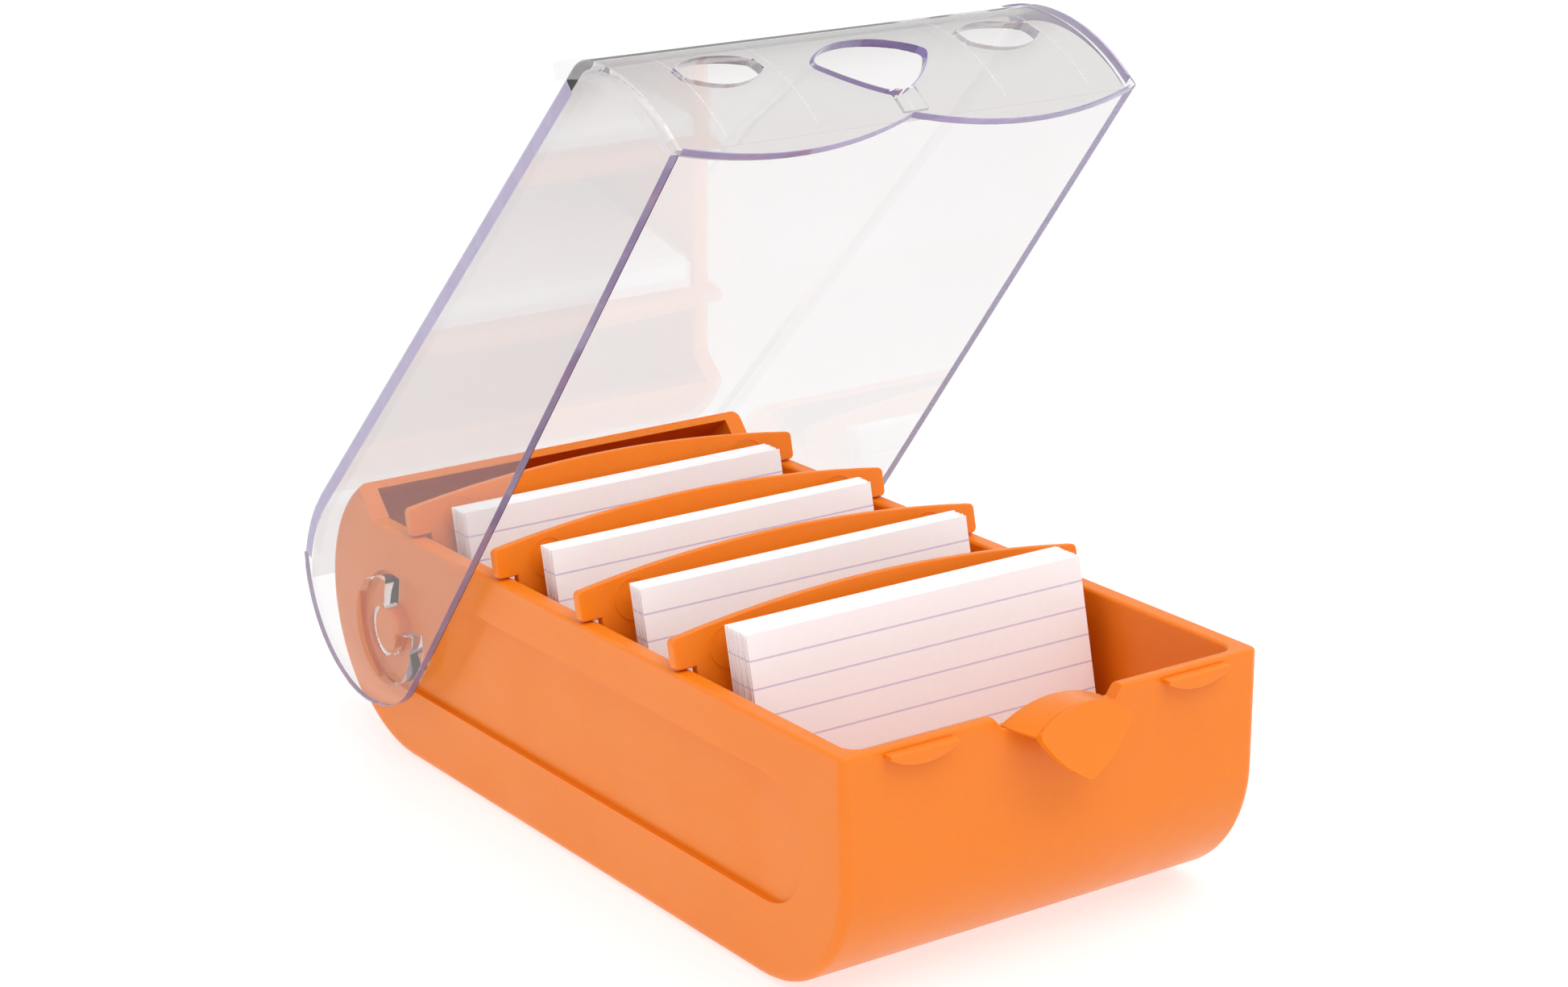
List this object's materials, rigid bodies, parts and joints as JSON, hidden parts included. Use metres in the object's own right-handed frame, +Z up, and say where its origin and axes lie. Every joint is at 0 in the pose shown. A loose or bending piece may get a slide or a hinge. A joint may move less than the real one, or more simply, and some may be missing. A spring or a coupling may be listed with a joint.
{
  "type": "index card box",
  "caption": "Long open-topped card box with a clear hinged lid, sliding leaning dividers and packs of small ruled index cards.",
  "frame": {"origin": "middle of the flat underside, on the table plane", "axes": "+X to the right seen from the front, +Y from the front face to the hinge end, +Z up"},
  "size_m": [0.0986, 0.196, 0.1539],
  "materials": {
    "orange_plastic": "smooth moulded orange plastic",
    "clear_plastic": "clear moulded plastic",
    "card_stock": "white card printed with thin lilac lines"
  },
  "bodies": {
    "box": {"base_box": "orange_plastic"},
    "lid": {"clear_lid": "clear_plastic"},
    "divider_1": {"divider_1": "orange_plastic"},
    "divider_2": {"divider_2": "orange_plastic"},
    "divider_3": {"divider_3": "orange_plastic"},
    "divider_4": {"divider_4": "orange_plastic"},
    "cards_1": {"front_card_1": "card_stock", "card_pack_1": "card_stock"},
    "cards_2": {"front_card_2": "card_stock", "card_pack_2": "card_stock"},
    "cards_3": {"front_card_3": "card_stock", "card_pack_3": "card_stock"},
    "cards_4": {"front_card_4": "card_stock", "card_pack_4": "card_stock"}
  },
  "joints": [
    {"name": "lid_hinge", "type": "hinge", "parent": "box", "child": "lid", "pos_m": [0, 0.06575, 0.027], "axis": [-1, 0, 0], "range_deg": [-44, 60]},
    {"name": "divider_1_slide", "type": "slide", "parent": "box", "child": "divider_1", "axis": [0, 1, 0], "range_m": [0, 0.01]},
    {"name": "divider_2_slide", "type": "slide", "parent": "box", "child": "divider_2", "axis": [0, 1, 0], "range_m": [0, 0.01]},
    {"name": "divider_3_slide", "type": "slide", "parent": "box", "child": "divider_3", "axis": [0, 1, 0], "range_m": [0, 0.01]},
    {"name": "divider_4_slide", "type": "slide", "parent": "box", "child": "divider_4", "axis": [0, 1, 0], "range_m": [0, 0.01]},
    {"name": "cards_1_lift", "type": "slide", "parent": "divider_1", "child": "cards_1", "axis": [0, 0.2096, 0.9778], "range_m": [0, 0.04]},
    {"name": "cards_2_lift", "type": "slide", "parent": "divider_2", "child": "cards_2", "axis": [0, 0.2096, 0.9778], "range_m": [0, 0.04]},
    {"name": "cards_3_lift", "type": "slide", "parent": "divider_3", "child": "cards_3", "axis": [0, 0.2096, 0.9778], "range_m": [0, 0.035]},
    {"name": "cards_4_lift", "type": "slide", "parent": "divider_4", "child": "cards_4", "axis": [0, 0.2096, 0.9778], "range_m": [0, 0.018]}
  ]
}
